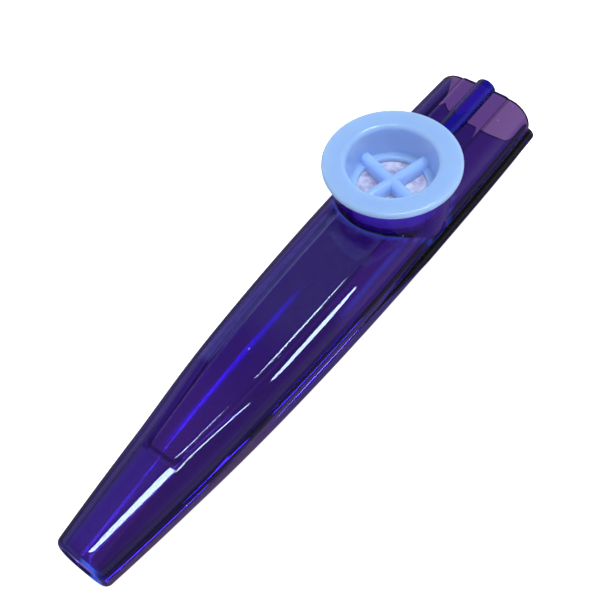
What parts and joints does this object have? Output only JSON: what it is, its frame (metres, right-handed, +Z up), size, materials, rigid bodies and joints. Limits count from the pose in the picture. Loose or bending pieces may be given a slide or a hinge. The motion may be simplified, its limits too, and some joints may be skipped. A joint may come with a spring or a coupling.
{
  "type": "kazoo",
  "caption": "Tapering kazoo of two clear moulded half shells, with a round turret on top whose push-in cap holds a humming membrane.",
  "frame": {"origin": "on the surface the kazoo lies on, under the middle of its length and width", "axes": "+X from the narrow outlet to the wide mouthpiece, +Z up through the turret"},
  "size_m": [0.12, 0.026, 0.0226],
  "materials": {
    "shell_plastic": "transparent violet blue, polished",
    "cap_plastic": "opaque pale blue white, satin gloss",
    "ring_plastic": "plain pale plastic",
    "membrane_film": "thin crinkled film, translucent"
  },
  "bodies": {
    "kazoo_body": {"upper_shell": "shell_plastic", "lower_shell": "shell_plastic"},
    "resonator": {"membrane_ring": "ring_plastic", "membrane": "membrane_film"},
    "cap": {"turret_cap": "cap_plastic"}
  },
  "joints": [
    {"name": "resonator_lift", "type": "slide", "parent": "kazoo_body", "child": "resonator", "axis": [0, 0, 1], "range_m": [0, 0.008]},
    {"name": "cap_pull", "type": "slide", "parent": "resonator", "child": "cap", "axis": [0, 0, 1], "range_m": [0, 0.008]}
  ]
}
